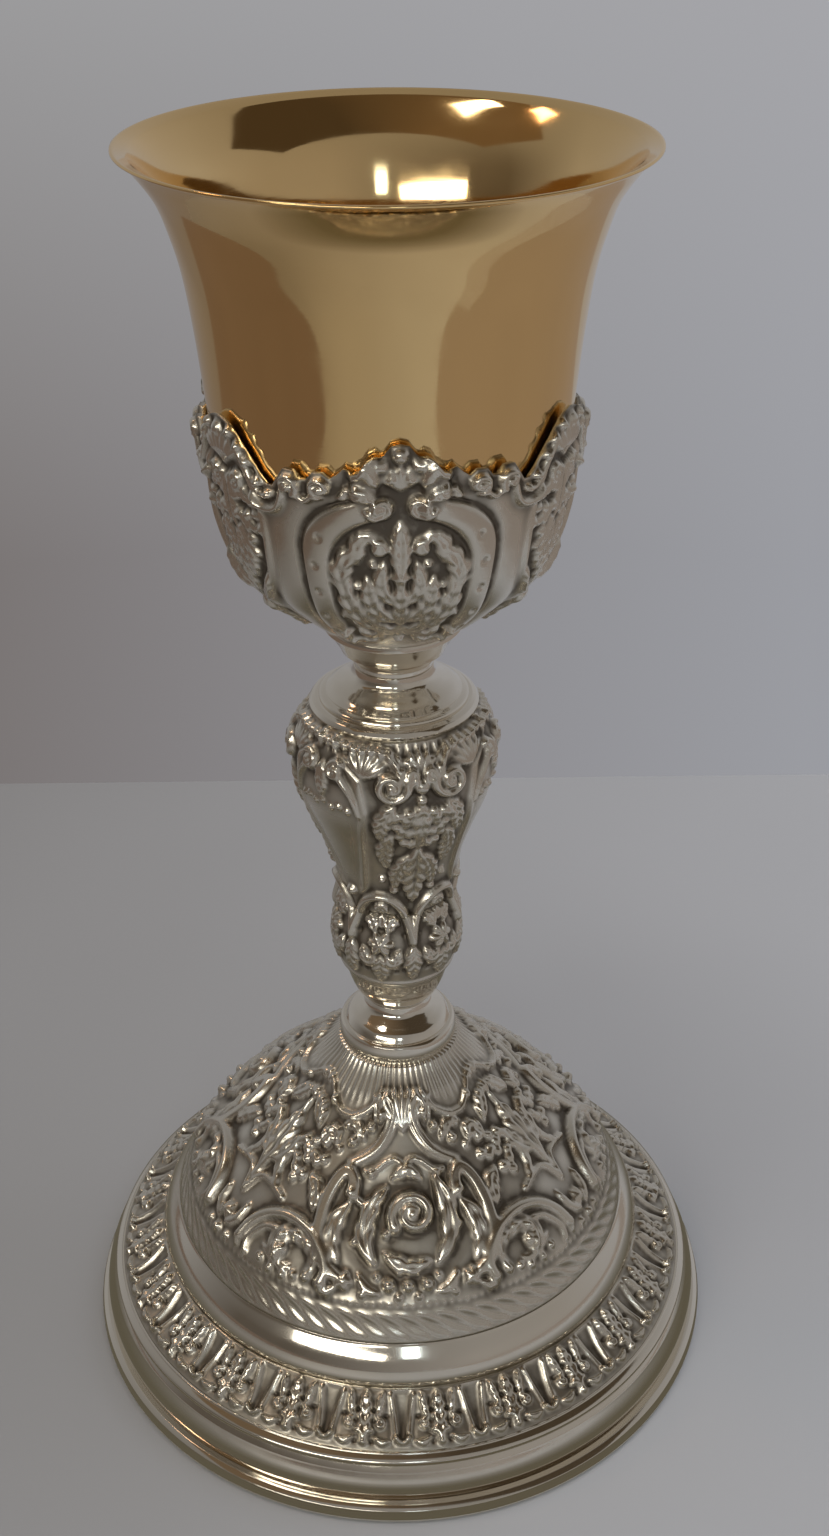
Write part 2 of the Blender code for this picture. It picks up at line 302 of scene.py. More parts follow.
class Relief:
    """Ornament over one sector of a turned surface.

    The surface is mapped flat with azimuth across and distance over radius down, so a shape keeps its
    proportions anywhere on it.  Sizes are millimetres, and places are (azimuth in degrees, height).
    Each shape is drawn for every one of the sides: as given, and mirrored about azimuth 0.
    """

    def __init__(self, radius, height, down, across):
        self.radius, self.height, self.down = radius, height, down
        self.half = -across[0]
        self.across = np.broadcast_to(across, radius.shape)
        self.sides = MIRRORED
        order = np.argsort(height[:, 0])
        self.rows = height[order, 0], down[order, 0], radius[order, 0]
        self.ground = np.zeros(radius.shape)
        self.raised = np.zeros(radius.shape)

    def place(self, spot, side=1):
        azimuth, height = spot
        return (side * math.radians(azimuth), float(np.interp(height, *self.rows[:2])))

    def radius_at(self, spot):
        return float(np.interp(spot[1], self.rows[0], self.rows[2]))

    def wrap(self, across):
        return (across + self.half) % (2 * self.half) - self.half

    def offsets(self, spot, side, reach):
        """Cells within reach of the spot, and their offsets from it in millimetres."""
        x, y = self.place(spot, side)
        scale = self.radius_at(spot)
        dx = self.wrap(self.across - x) * scale
        dy = (self.down - y) * scale
        near = (np.abs(dx) < reach) & (np.abs(dy) < reach)
        return near, dx[near], dy[near]

    def put(self, near, values):
        self.raised[near] = np.maximum(self.raised[near], values)

    def ball(self, size, height, *spots):
        """Beads of one size."""
        for spot, side in product(spots, self.sides):
            near, dx, dy = self.offsets(spot, side, size)
            self.put(near, height * bulge(np.hypot(dx, dy) / size))

    def punch(self, size, depth, *spots):
        """Small round dents."""
        for spot, side in product(spots, self.sides):
            near, dx, dy = self.offsets(spot, side, 2 * size)
            dent = np.exp(-((dx * dx + dy * dy) / size ** 2) ** 2)
            self.ground[near] -= depth * dent
            self.raised[near] -= depth * dent * (self.raised[near] > 0)

    def line(self, spots, side):
        """A smooth line through the spots: its points on the map, and the mean radius there."""
        path = curve([self.place(spot, side) for spot in spots], 12)
        scale = float(np.mean([self.radius_at(spot) for spot in spots]))
        count = max(8, int(lengths(path)[-1] * scale / STROKE_SPACING))
        return even(path, count), scale

    def along(self, path, scale, reach):
        """For cells near the path: which, signed distance to it in mm, share along it, overrun."""
        low, high = path.min(0), path.max(0)
        middle = (low[0] + high[0]) / 2
        dx_all = self.wrap(self.across - middle)
        span = reach / scale
        near = (np.abs(dx_all) < (high[0] - low[0]) / 2 + span) \
            & (self.down > low[1] - span) & (self.down < high[1] + span)
        x = dx_all[near] + middle
        y = self.down[near]
        radius = self.radius[near]
        gap = (x[:, None] - path[:, 0]) ** 2 + (y[:, None] - path[:, 1]) ** 2
        best = gap.argmin(1)
        tangent = np.gradient(path, axis=0)
        tangent /= np.linalg.norm(tangent, axis=1)[:, None]
        off_x, off_y = x - path[best, 0], y - path[best, 1]
        run = off_x * tangent[best, 0] + off_y * tangent[best, 1]
        side_of = off_x * tangent[best, 1] - off_y * tangent[best, 0]
        step = np.linalg.norm(path[1] - path[0])
        share = np.clip((best + np.clip(run / step, -0.5, 0.5)) / (len(path) - 1), 0, 1)
        ends = (best == 0) & (run < 0) | (best == len(path) - 1) & (run > 0)
        overrun = np.where(ends, np.abs(run), 0) * radius
        return near, side_of * radius, share, overrun

    def stroke(self, spots, width, height, ends=(1, 1), flutes=0, notches=0, hollow=0.0):
        """A raised rounded band.  ends scale its width there, flutes run along it, notches across it."""
        for side in self.sides:
            path, scale = self.line(spots, side)
            near, off, share, overrun = self.along(path, scale, 1.5 * width)
            wide = width * (ends[0] + (ends[1] - ends[0]) * share)
            across = np.hypot(off, overrun) / wide
            form = bulge(across)
            if hollow:
                form = form * (1 - hollow * np.clip(1 - (across / 0.62) ** 2, 0, 1))
            if flutes:
                form = form * (0.74 + 0.26 * np.cos(2 * math.pi * flutes * off / wide / 2))
            if notches:
                slant = share * notches + 0.45 * np.abs(off) / wide
                form = form * (0.80 + 0.20 * np.cos(2 * math.pi * slant))
            self.put(near, height * np.minimum(1, wide / width * 1.2) * form)

    def leaf(self, spots, width, height, lobes):
        """A serrated leaf on a curved midrib, with a groove along it and a vein to each lobe."""
        for side in self.sides:
            path, scale = self.line(spots, side)
            near, off, share, overrun = self.along(path, scale, 1.1 * width)
            fan = share * lobes - 0.9 * np.abs(off) / width
            frond = np.abs(np.sin(math.pi * (fan + 0.25)))
            swell = np.sin(math.pi * np.clip(share * 0.86 + 0.10, 0, 1)) ** 0.7
            wide = np.maximum(width * swell * (0.70 + 0.30 * frond ** 0.6), LEAF_TIP)
            across = np.hypot(off, overrun) / wide
            form = bulge(across)
            vein = 0.80 + 0.20 * frond
            groove = 1 - 0.38 * np.exp(-(off / (0.16 * width)) ** 2)
            self.put(near, height * form * vein * groove)

    def volute(self, spot, size, turns, start_deg, hand, width, height):
        """A rolled scroll end: a band that winds in to a bead.  start_deg is where its outer end lies."""
        scale = self.radius_at(spot)
        x, y = self.place(spot)
        angles = np.linspace(0, turns * 2 * math.pi, int(26 * turns) + 4)
        shrink = 1 - 0.72 * np.linspace(0, 1, len(angles)) ** 0.9
        turn = math.radians(start_deg) + hand * angles
        path = np.stack([
            x + size / scale * shrink * np.cos(turn), y - size / scale * shrink * np.sin(turn),
        ], 1)
        for side in self.sides:
            mine = path * (side, 1)
            near, off, share, overrun = self.along(mine, scale, 1.4 * width)
            wide = width * (1 - 0.45 * share)
            form = bulge(np.hypot(off, overrun) / wide)
            self.put(near, height * form * (1 + 0.25 * share))
        self.ball(0.36 * size, 1.25 * height, spot)

    def shell(self, spot, facing_deg, size, half_deg, ribs, height):
        """A fan of ribs from the spot.  facing_deg is where its middle points: 0 right, 90 up."""
        for side in self.sides:
            near, dx, dy = self.offsets(spot, side, 1.1 * size)
            facing = math.radians(facing_deg if side > 0 else 180 - facing_deg)
            angle = np.arctan2(-dy, dx) - facing
            angle = (angle + math.pi) % (2 * math.pi) - math.pi
            phase = angle / math.radians(half_deg) * ribs / 2
            reach = size * (0.88 + 0.12 * np.abs(np.cos(math.pi * phase)))
            out = np.hypot(dx, dy) / reach
            inside = (np.abs(angle) < math.radians(half_deg)) & (out < 1)
            form = bulge(out ** 2) * (0.35 + 0.65 * np.sqrt(out))
            rib = 0.62 + 0.38 * np.abs(np.cos(math.pi * phase))
            self.put(near, height * form * rib * inside)

    def flower(self, spot, size, petals, height):
        for side in self.sides:
            near, dx, dy = self.offsets(spot, side, size)
            angle = np.arctan2(dy, dx)
            petal = np.abs(np.cos(petals * angle / 2))
            out = np.hypot(dx, dy) / (size * (0.72 + 0.28 * petal))
            form = np.sqrt(np.clip(1 - (out - 0.15) ** 2 / 0.72, 0, 1)) * (0.55 + 0.45 * petal)
            self.put(near, height * form * (out < 1))
        self.ball(0.3 * size, 1.15 * height, spot)

    def grapes(self, spot, berry, rows, lean=0.0):
        """A hanging bunch: rows lists how many berries lie side by side, from the top down."""
        per_deg = math.radians(1) * self.radius_at(spot)
        slope = 1.25
        for row, count in enumerate(rows):
            for k in range(count):
                jitter = 0.3 * berry * math.sin(12.9 * k + 7.3 * row)
                across = (k - (count - 1) / 2) * 1.6 * berry + lean * row + jitter
                azimuth = spot[0] + across / per_deg
                height = spot[1] - (row * 1.5 + 0.5 * math.cos(5.1 * k + 2.7 * row)) * berry / slope
                self.ball(berry * (1 + 0.08 * math.sin(5 * k + 3 * row)),
                          berry * (1.05 + 0.12 * math.cos(7 * k + row)), (azimuth, height))

    def total(self):
        return blur(self.ground + self.raised, RELIEF_BLUR)


def chased(node, path, columns, repeats, draw, closing, material, centre_deg=0.0, edge=None,
           grain=1.6):
    """A closed shell whose outer side follows the path with the relief that draw(relief) puts on it.

    closing lists the (radius, height) rings that lead back up inside from the path's end to its start,
    or is a function that gives them from the first row's radius and height.  edge(radius, height,
    azimuth) draws the first rows into a scalloped edge.  Hollows about as wide as the grain, in
    millimetres, are the dull ones.
    """
    sector = columns // repeats
    radius = np.repeat(path[:, :1], sector, 1)
    height = np.repeat(path[:, 1:], sector, 1)
    across = (np.arange(sector) / sector * 2 - 1) * math.pi / repeats
    if edge:
        radius, height = edge(radius, height, across)
    step_r, step_z = np.gradient(radius, axis=0), np.gradient(height, axis=0)
    step = np.hypot(step_r, step_z)
    down = np.cumsum(step / radius, axis=0)
    down += down[-1, sector // 2] - down[-1]
    relief = Relief(radius, height, down, across)
    draw(relief)
    rise = relief.total()
    spacing = float(np.mean(step))
    hollow = ramp(blur(rise, grain / spacing) - rise, HOLLOW_DEPTH)
    radius, height = radius - rise * step_z / step, height + rise * step_r / step
    radius, height, hollow = (np.tile(each, (1, repeats)) for each in (radius, height, hollow))
    azimuth = np.arange(columns) / columns * 2 * math.pi - math.pi / repeats
    azimuth += math.radians(centre_deg)
    rings = closing(radius[0], height[0]) if callable(closing) else closing
    inner = [spun(r, z, azimuth) for r, z in rings]
    points = np.concatenate([spun(radius, height, azimuth), inner])
    hollow = np.vstack([hollow, np.zeros((len(inner), columns))])
    add_mesh(node + "_chased", points.reshape(-1, 3), [grid_faces(len(points), columns)],
             {"hollow": hollow}, "root", material, node)


# ---------------------------------------------------------------- ornament

def draw_dome(r):
    """Foot dome: a third of the way round, mirrored about its cartouche."""
    z = r.height
    azimuth = np.degrees(r.across)
    # Slanted gadroons round the lower edge.
    phase = (azimuth + 2.0 * (z - 34)) / 5
    lobe = np.abs(phase - np.round(phase)) * 2
    fade = ramp(z - 31.9, 0.8) * ramp(38.2 - z, 0.9)
    r.ground += (0.6 * bulge(lobe) - 0.15) * fade
    # Scalloped lower border of the ornament.
    border = 38.5 + 0.55 * np.abs(np.sin(np.radians(azimuth * 12)))
    r.ground += 0.35 * ramp(z - border, 0.5) * ramp(73 - z, 3)
    for k in range(30):
        r.ball(0.42, 0.7, (1 + 2 * k, 38.7 + 0.35 * abs(math.sin(math.radians((1 + 2 * k) * 12)))))
    # Fine rays under the collar and the shell that crests the cartouche.
    ray = np.cos(np.radians(azimuth * 72))
    r.ground += 0.10 * ray * ramp(z - 67, 3)
    r.shell((0, 64.5), 90, 11, 50, 9, 1.7)
    # Fluted scrolls that lean together over the cartouche, with their beads.
    r.stroke([(-13, 66.9), (-13.4, 68.7), (-10.5, 70), (-6.5, 69.4), (-5.2, 67.4), (-7.4, 64.6),
              (-12, 62), (-18, 60.2), (-24, 58.9)], 2.5, 2, ends=(0.7, 0.45), flutes=2.5)
    r.ball(1.15, 1.9, (-12.4, 67.2))
    for spot, size in (((-17.5, 64.9), 1.15), ((-25.5, 62.2), 1.25), ((-14, 58.1), 1),
                       ((-31, 60.5), 0.8)):
        r.ball(size, 1.25 * size, spot)
    r.leaf([(-20, 62.8), (-26, 64.6), (-33, 64.2)], 1.5, 1.1, 4)
    # Swags under the collar.
    r.stroke([(-14, 70.6), (-20, 67.8), (-29, 66), (-38, 66), (-45, 67.6)], 0.7, 1.1)
    r.ball(1, 1.5, (-45, 67.2))
    r.ball(0.8, 1, (-57, 69.4))
    r.stroke([(-47, 68), (-54, 69.8), (-60, 70.3)], 0.6, 0.9)
    # Cartouche: C-scroll sides, their inner leaves, and the sunk field.
    field = (azimuth / 21) ** 2 + ((z - 50.5) / 8.6) ** 2
    r.ground -= 0.3 * ramp(1 - field, 0.25)
    r.stroke([(-19.5, 54.6), (-20.5, 56.8), (-24, 57.8), (-27.6, 55.6), (-28.8, 51.6),
              (-27.6, 47.6), (-24.4, 44.6), (-20.5, 43)], 1.5, 2, hollow=0.25)
    r.ball(1.5, 2.1, (-20.4, 54.9))
    r.leaf([(-20.5, 53.2), (-23.4, 50.6), (-23.2, 47.2), (-20, 44.8)], 2.3, 1.5, 3)
    r.stroke([(-17, 58.2), (-12.5, 58.6), (-8, 59.9), (-4, 60.3), (0, 59.6)], 0.55, 0.9)
    # Plain emblem: one swirl with curled leaves, turned the same way on every cartouche.
    r.sides = ONE_SIDE
    r.volute((2.5, 52.4), 4.6, 1.5, 215, -1, 1.6, 2.1)
    r.leaf([(-10, 45.6), (-13.5, 49), (-12, 53.4), (-7, 56.2)], 2.5, 1.9, 3)
    r.leaf([(12.5, 57.2), (15, 53), (13.5, 48.6), (9, 45.4)], 2.5, 1.9, 3)
    r.leaf([(-6.5, 46.8), (0, 45), (7, 45.8)], 2, 1.7, 3)
    r.leaf([(-5, 57.6), (1, 58.6), (7, 57.4)], 1.6, 1.5, 3)
    r.ball(1, 1.5, (-16.6, 53.8), (17.4, 50.2), (-16.4, 48.2), (-6.6, 49.6))
    r.sides = MIRRORED
    # Row of flowers and beads along the foot of the cartouche.
    r.flower((-17.5, 42.4), 2.3, 5, 1.7)
    r.leaf([(-19, 41.2), (-22.5, 40.2), (-25.5, 41.3)], 1.1, 1.3, 3)
    r.ball(1.35, 1.7, (0, 42.3))
    r.ball(1.5, 1.8, (-5.2, 42.4))
    r.leaf([(-7.5, 41), (-11, 41.6), (-14, 43.6)], 1.2, 1.2, 3)
    r.ball(0.85, 1.25, (-2.6, 40.6), (-8.5, 43.5), (-12.2, 40.6), (-2.4, 44.3), (-21.5, 39.9))
    # Big fluted scrolls between the cartouches, each with an inner volute.
    r.stroke([(-23.5, 41.2), (-22.9, 43.6), (-25.6, 46.2), (-31, 48.2), (-38, 48.9), (-45, 47.9),
              (-49.6, 45.4), (-51.5, 42)], 1.4, 1.9)
    r.stroke([(-27.6, 41.9), (-26.6, 44), (-29.6, 46.2), (-35.5, 46.9), (-39.4, 45.3),
              (-38.4, 43.4)], 2.5, 2.3, ends=(0.55, 1), flutes=2, notches=5)
    r.ball(1.15, 1.9, (-36.9, 44.1))
    r.stroke([(-41.5, 46.4), (-45.5, 45.5), (-48.6, 42.6), (-48, 40.4)], 1.35, 1.6,
             ends=(0.8, 0.6), flutes=2)
    r.ball(1.05, 1.6, (-27.9, 41.4))
    r.ball(0.9, 1.3, (-31.5, 41), (-34.6, 40.3), (-38.8, 40.4), (-42.6, 41.2), (-51.2, 40.8))
    r.leaf([(-33, 42), (-36.5, 41.6), (-43.5, 43.2)], 1.3, 1, 4)
    # Between the big scrolls: a drop, a flower and a pair of leaves.
    r.flower((60, 43.6), 2.2, 6, 1.6)
    r.leaf([(-58.5, 41.6), (-55.5, 43.6), (-54.4, 46.8)], 1.2, 1.3, 4)
    r.ball(1.2, 1.6, (60, 40.3))
    r.ball(0.85, 1.2, (-56, 40.3))
    # Vine, grapes and wheat in the fields either side.
    r.stroke([(-60, 47.5), (-57, 51), (-51, 51.2), (-45, 50.4)], 0.65, 1.1)
    r.stroke([(-60, 64.5), (-60, 60), (-58, 55), (-60, 50)], 0.6, 1)
    r.leaf([(-60, 52), (-60, 57), (-60, 62.5)], 3, 1.8, 3)
    r.leaf([(-59, 53.6), (-54, 56), (-51, 59.6)], 2.2, 1.6, 3)
    r.grapes((-43.5, 60.2), 1.35, (3, 4, 3, 2, 1), lean=-0.15)
    r.leaf([(-41, 60.5), (-37, 62.5), (-33.5, 61)], 2.2, 1.6, 3)
    r.leaf([(-38, 55.4), (-34, 53.8), (-32.5, 50.8)], 2.2, 1.6, 3)
    r.leaf([(-47, 62.5), (-51.5, 65), (-56, 66.6)], 2, 1.5, 3)
    r.leaf([(-49.5, 51.6), (-53, 53.4), (-53.6, 57)], 1.3, 1.3, 5)
    r.flower((-60, 66.2), 1.8, 5, 1.2)


def draw_calyx(r):
    """Calyx: a small-crested cartouche in front, plain panels beside it, grape cartouches between."""
    z = r.height
    azimuth = np.degrees(r.across)
    away = np.abs(azimuth)
    edge = np.interp(away, *np.array(CALYX_EDGE).T)
    # Ring frame of the front cartouche: rounded band between two grooves, closing at the bottom.
    outer = 30.5 * np.sqrt(1 - 0.80 * ramp(z - 203.5, 12) ** 2.4)
    inner = 21.8 * np.sqrt(1 - 0.92 * ramp(z - 201.5, 10.5) ** 2.2)
    share = (away - inner) / np.maximum(outer - inner, 0.5)
    ring = bulge(2 * share - 1)
    per_deg = math.radians(1) * r.radius
    fade = ramp(z - 179, 3)
    r.ground += 1.15 * ring ** 0.7 * fade
    groove = np.exp(-((away - outer - 0.9) * per_deg / 0.5) ** 2)
    r.ground -= 0.45 * groove * fade * ramp(edge - z, 1.5)
    r.ground -= 0.30 * ramp((inner - away) * per_deg, 0.8) * fade
    # Plain flared panel: hollow across, so that its sides catch the light.
    panel = (away - outer - 2) / np.maximum(44 - outer, 1)
    r.ground += 0.5 * np.clip(1 - (2 * panel - 1) ** 2, 0, 1) * (panel > 0) * (panel < 1) * fade
    # Sunk field of the grape cartouche, with its rim.
    field = np.hypot((60 - away) / 16.5, (z - 205.5) / np.where(z > 205.5, 15.5, 17.5))
    r.ground -= 0.55 * ramp(0.93 - field, 0.125)
    r.ground += 0.8 * np.exp(-((field - 1) * 11) ** 2) * ramp(218 - z, 3)
    r.punch(0.62, 0.5, (24.2, 208.2), (26.1, 202.6), (26.1, 197), (26.1, 191.6), (26.1, 187))
    # Acanthus in the front field.
    r.leaf([(-3, 187.5), (-10, 189.5), (-16, 194), (-18, 199.5)], 3.1, 1.7, 5)
    r.leaf([(-17, 196.5), (-18.5, 201), (-15.5, 205), (-11, 205.5)], 2.3, 1.5, 4)
    r.leaf([(-3, 190.5), (-9, 194.5), (-10.5, 200)], 2.3, 1.6, 4)
    r.leaf([(-1.5, 194.5), (-6, 198.5), (-5, 203.5)], 1.8, 1.4, 4)
    r.leaf([(-13.5, 203.5), (-12.5, 207.5), (-7.5, 209)], 1.8, 1.3, 4)
    r.volute((-6.6, 206.4), 1.5, 1.2, 120, -1, 0.75, 1.4)
    r.leaf([(0, 201.5), (0, 205.5), (0, 211)], 2.3, 1.4, 4)
    r.leaf([(0, 189.5), (0, 195.5), (0, 200.5)], 1.8, 1.6, 5)
    r.flower((0, 200.6), 1.9, 6, 1.7)
    r.ball(0.8, 1.3, (-13.6, 198.4), (-8.4, 203), (-19.6, 191.4), (-6.6, 192.6))
    # Cluster at the foot of the field.
    r.shell((0, 189.4), 270, 6.8, 62, 7, 1.7)
    r.leaf([(-4, 187.5), (-11.5, 185), (-17, 186.5)], 1.7, 1.5, 4)
    r.leaf([(-7, 184), (-15, 181.5), (-24, 183)], 1.3, 1.2, 4)
    r.ball(1, 1.4, (0, 183.2), (-12, 182.9), (-22, 185.8))
    # Volutes at the top and the crest above them.
    r.volute((-5.6, 214.6), 2.1, 1.3, 200, 1, 0.85, 1.6)
    r.leaf([(-8, 216.4), (-12.5, 217.4), (-17.5, 216)], 1.6, 1.5, 4)
    r.shell((0, 217.3), 90, 5, 60, 5, 1.2)
    r.ball(1.55, 1.5, (0, 223.9))
    r.ball(1.25, 1.3, (-5, 222))
    r.ball(0.8, 1.4, (-2.6, 219.6))
    r.leaf([(-6, 218.8), (-10, 221.6), (-14.5, 219.6)], 1.4, 1.2, 4)
    r.ball(0.9, 1, (-10.2, 222))
    # Pairs of small scrolls that end the plain panels.
    r.volute((-22.5, 217.8), 1.9, 1.2, 250, -1, 0.8, 1.4)
    r.volute((-32.5, 217.6), 2, 1.2, 300, 1, 0.8, 1.4)
    r.stroke([(-24.5, 216.6), (-27.4, 215), (-30.5, 216.4)], 0.7, 1.1)
    r.stroke([(-34.5, 216.2), (-37, 212.6), (-42, 211.6), (-47, 213)], 0.8, 1.2)
    r.stroke([(-39, 214.8), (-42.5, 214.4), (-46.5, 217), (-51.5, 221.6)], 0.75, 1.2)
    r.ball(1.05, 1.5, (-40, 214.6), (-44, 216.2), (-48, 219.2), (-51, 221.6), (-54.2, 223.6))
    # Crest and contents of the grape cartouche.
    r.shell((60, 216.2), 90, 7.6, 55, 7, 1.4)
    r.ball(1.5, 1.5, (60, 223.4))
    r.volute((-54.5, 215), 2, 1.2, 180, 1, 0.8, 1.5)
    r.leaf([(-60, 214), (-60, 210), (-60, 205.6)], 3, 1.5, 5)
    r.leaf([(-58, 211), (-52.5, 212.4), (-47.5, 210.4)], 2, 1.5, 4)
    r.grapes((-51.4, 208.6), 1.3, (3, 4, 3, 2, 1), lean=-0.3)
    r.leaf([(-59, 204), (-55, 200), (-54.5, 195)], 2.2, 1.5, 5)
    r.leaf([(-60, 202), (-60, 196.5), (-60, 190.5)], 2.4, 1.5, 5)
    r.stroke([(-59, 206), (-55, 203.6), (-50, 200.5)], 0.7, 1.2)
    r.leaf([(-57, 191), (-51.5, 192.5), (-47, 197)], 1.8, 1.2, 4)
    r.leaf([(-60, 189.5), (-60, 185.5), (-60, 181.5)], 2.6, 1.2, 4)


def draw_knop(r):
    """Pear knop: grapes in the middle of a sector, smooth oval fields at its edges."""
    z = r.height
    azimuth = np.degrees(r.across)
    away = 60 - np.abs(azimuth)
    # Smooth oval field with a raised rim, wide above and narrow below.
    wide = np.interp(z, [116, 121, 128, 136, 144, 151, 156], [6, 15, 20, 24, 27, 24, 6])
    off = (away - wide) * math.radians(1) * r.radius
    inside = ramp(-off, 0.9)
    r.ground += 0.35 * inside
    r.ground += 0.75 * np.exp(-(off / 0.75) ** 2) * ramp(z - 118, 2)
    # Fine ribs under the cap.
    r.ground += 0.22 * ramp(z - 154.6, 1.2) * np.cos(np.radians(azimuth * 60)) \
        * ramp(158.1 - z, 0.4)
    # Shell-topped scrolls with their hanging volutes.
    r.stroke([(-60, 156.8), (-48, 157), (-36, 156.6), (-26, 156.8), (-17, 155.6), (-11.5, 152.6)],
             1.5, 1.6, ends=(0.6, 1.1), flutes=2)
    r.volute((-17, 150.6), 3.3, 1.35, 20, -1, 1.25, 1.9)
    r.shell((-34, 151.4), 78, 6.4, 62, 6, 1.3)
    r.volute((-6, 152.6), 1.9, 1.2, 150, 1, 0.9, 1.5)
    r.ball(1.7, 1.8, (0, 150.2))
    r.ball(1.2, 1.4, (0, 147.2))
    r.shell((0, 152), 90, 5.6, 50, 5, 1.3)
    r.volute((-50, 152), 1.9, 1.2, 60, 1, 0.85, 1.3)
    r.stroke([(-47.5, 151), (-40, 147.5), (-36.5, 143)], 0.9, 1.2, ends=(1, 0.5))
    r.ball(0.75, 0.8, (-43, 143.6), (-48.5, 144.2), (-54, 143.6), (60, 144.6))
    r.leaf([(60, 152.5), (60, 149.5), (60, 145.8)], 1.9, 1.1, 4)
    # Grapes and vine leaves that taper to a pointed leaf.
    r.grapes((-7.5, 144.4), 1.25, (3, 4, 4, 3, 3, 2, 1), lean=0.12)
    r.leaf([(-16, 146), (-22, 142.5), (-25, 137.5)], 2.2, 1.5, 5)
    r.leaf([(-18, 138.5), (-23, 133.5), (-22, 128.5)], 2, 1.4, 5)
    r.leaf([(0, 146), (0, 141), (0, 134.5)], 2.2, 1.5, 5)
    r.leaf([(-6, 131.5), (-13, 127.5), (-16.5, 122.5)], 2, 1.4, 5)
    r.leaf([(0, 133.5), (0, 127), (0, 118.5)], 2.9, 1.6, 5)
    r.ball(0.9, 1.2, (-27, 124.5))
    r.ball(1.3, 1.4, (60, 119.4))
    r.ball(1, 1.2, (-17, 121.6))
    # Tops of the arches that stand on the bulb.
    r.stroke([(-53.4, 114.1), (-49.5, 116.3), (-41, 118.6), (-30, 119.5), (-19, 118.6), (-10.5, 116.3),
              (-6.6, 114.1)], 1, 1.5)
    r.leaf([(-35.5, 115), (-30, 116.6), (-24.5, 115)], 1.4, 1.2, 3)


def draw_bulb(r):
    """Bulb: arches that come down from the knop and meet in points, a rosette under each."""
    z = r.height
    fade = ramp(z - 97, 2)
    azimuth = np.degrees(r.across)
    arch = np.interp(np.abs(azimuth), [0, 20, 24, 27, 30], [118, 116, 113.8, 111.3, 108])
    r.ground += (-0.35 * ramp(arch - z, 1.2) + 0.25) * fade
    r.stroke([(-23.2, 114.2), (-25.2, 112.9), (-27.6, 110.9), (-30, 107.9)], 1, 1.5)
    r.flower((0, 107.6), 3, 6, 1.5)
    r.leaf([(-6.5, 110.4), (-11, 112.4), (-17.5, 112)], 1.7, 1.2, 3)
    r.leaf([(0, 111.4), (0, 112.8), (0, 114)], 1.5, 1, 3)
    r.leaf([(-5.5, 104.6), (-12, 103.2), (-18, 106)], 1.8, 1.1, 3)
    r.leaf([(0, 104.2), (0, 101.2), (0, 98)], 2.2, 1.1, 4)
    r.leaf([(30, 106.8), (30, 103), (30, 98.6)], 2.2, 1.2, 4)
    r.leaf([(30, 113.8), (30, 112), (30, 110.4)], 1.6, 1.2, 3)
    r.punch(0.5, 0.4, (-22.5, 109.6), (-15, 100.4), (-22, 100.8))
    r.stroke([(-30, 96.8), (0, 96.8)], 0.6, 0.4)


def draw_frieze(r):
    """Leaf frieze: a tapered channel with raised rims, and a leafy cluster at each side of it."""
    z = r.height
    azimuth = np.degrees(r.across)
    per_deg = math.radians(1) * r.radius
    span = ramp(z - 15.9, 6)
    half = 1.0 + 1.45 * span
    off = (np.abs(azimuth) - half) * per_deg
    fade = ramp(22.2 - z, 0.7) * ramp(z - 15.5, 0.6)
    r.ground += 0.85 * np.exp(-(off / 0.55) ** 2) * fade
    r.ground -= 0.35 * ramp(-off, 0.7) * fade
    r.ground += 0.35 * fade * ramp(off - 0.6, 1)
    r.stroke([(-1.3, 16.4), (0, 15.95), (1.3, 16.4)], 0.6, 1.2)
    r.leaf([(7.5, 16.2), (7.5, 18.5), (7.5, 22)], 1.9, 1.5, 4)
    r.leaf([(-5.2, 18.2), (-4.6, 20), (-4, 22)], 1, 1.2, 3)
    r.volute((-4.6, 17.7), 1.15, 1.1, 100, -1, 0.55, 1.2)
    r.leaf([(-2.4, 16.1), (-4, 15.9), (-5.6, 16.4)], 0.8, 1.1, 2)
    r.ball(0.75, 1.3, (-6.2, 17))
    r.ball(0.8, 1.2, (7.5, 15.9))
    r.punch(0.42, 0.7, (-3.2, 18.6), (-5.9, 19.2), (-5.8, 16))


# ---------------------------------------------------------------- materials

